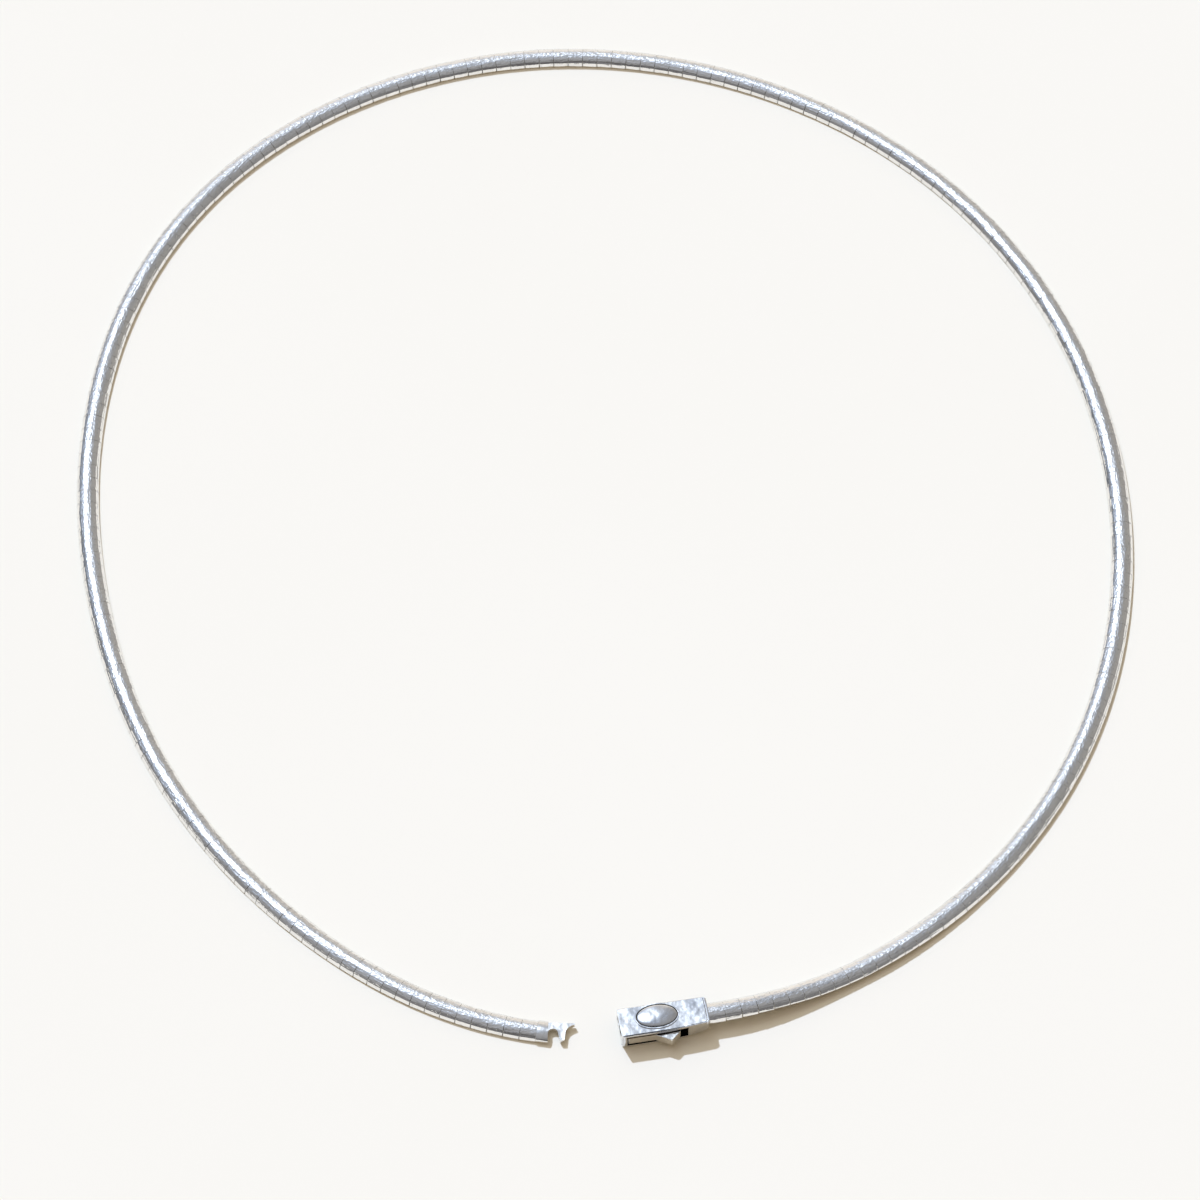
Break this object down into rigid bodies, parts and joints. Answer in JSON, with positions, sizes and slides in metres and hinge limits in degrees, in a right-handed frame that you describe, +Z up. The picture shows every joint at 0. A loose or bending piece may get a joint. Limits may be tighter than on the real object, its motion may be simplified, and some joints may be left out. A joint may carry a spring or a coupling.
{
  "type": "omega necklace",
  "caption": "Silver omega necklace lying open: domed plates on a flexible flat core, notched tongue at one end and a box clasp with a domed oval and a push lever at the other.",
  "frame": {"origin": "on the surface it lies on, under the middle of the whole open necklace", "axes": "+Z up out of the surface, +Y towards the front middle of the necklace, -Y towards the open clasp, +X to the clasp's side"},
  "size_m": [0.1328, 0.1538, 0.0029],
  "materials": {
    "silver": "polished silver with fine hairlines",
    "core_mesh": "darkened woven silver",
    "silver_flat": "polished silver with small scratches",
    "silver_dome": "polished silver",
    "silver_lever": "polished silver",
    "steel": "plain steel pin"
  },
  "bodies": {
    "necklace": {"chain_left": "silver", "chain_right": "silver", "core": "core_mesh", "tongue": "silver_flat", "clasp_box": "silver_flat", "clasp_oval": "silver_dome", "lever_pin": "steel"},
    "lever": {"lever": "silver_lever"}
  },
  "joints": [
    {"name": "lever_pivot", "type": "hinge", "parent": "necklace", "child": "lever", "pos_m": [0.00598, -0.07558, 0.00127], "axis": [0, 0, 1], "range_deg": [0, 12], "stiffness_Nm_per_rad": 0.01}
  ]
}
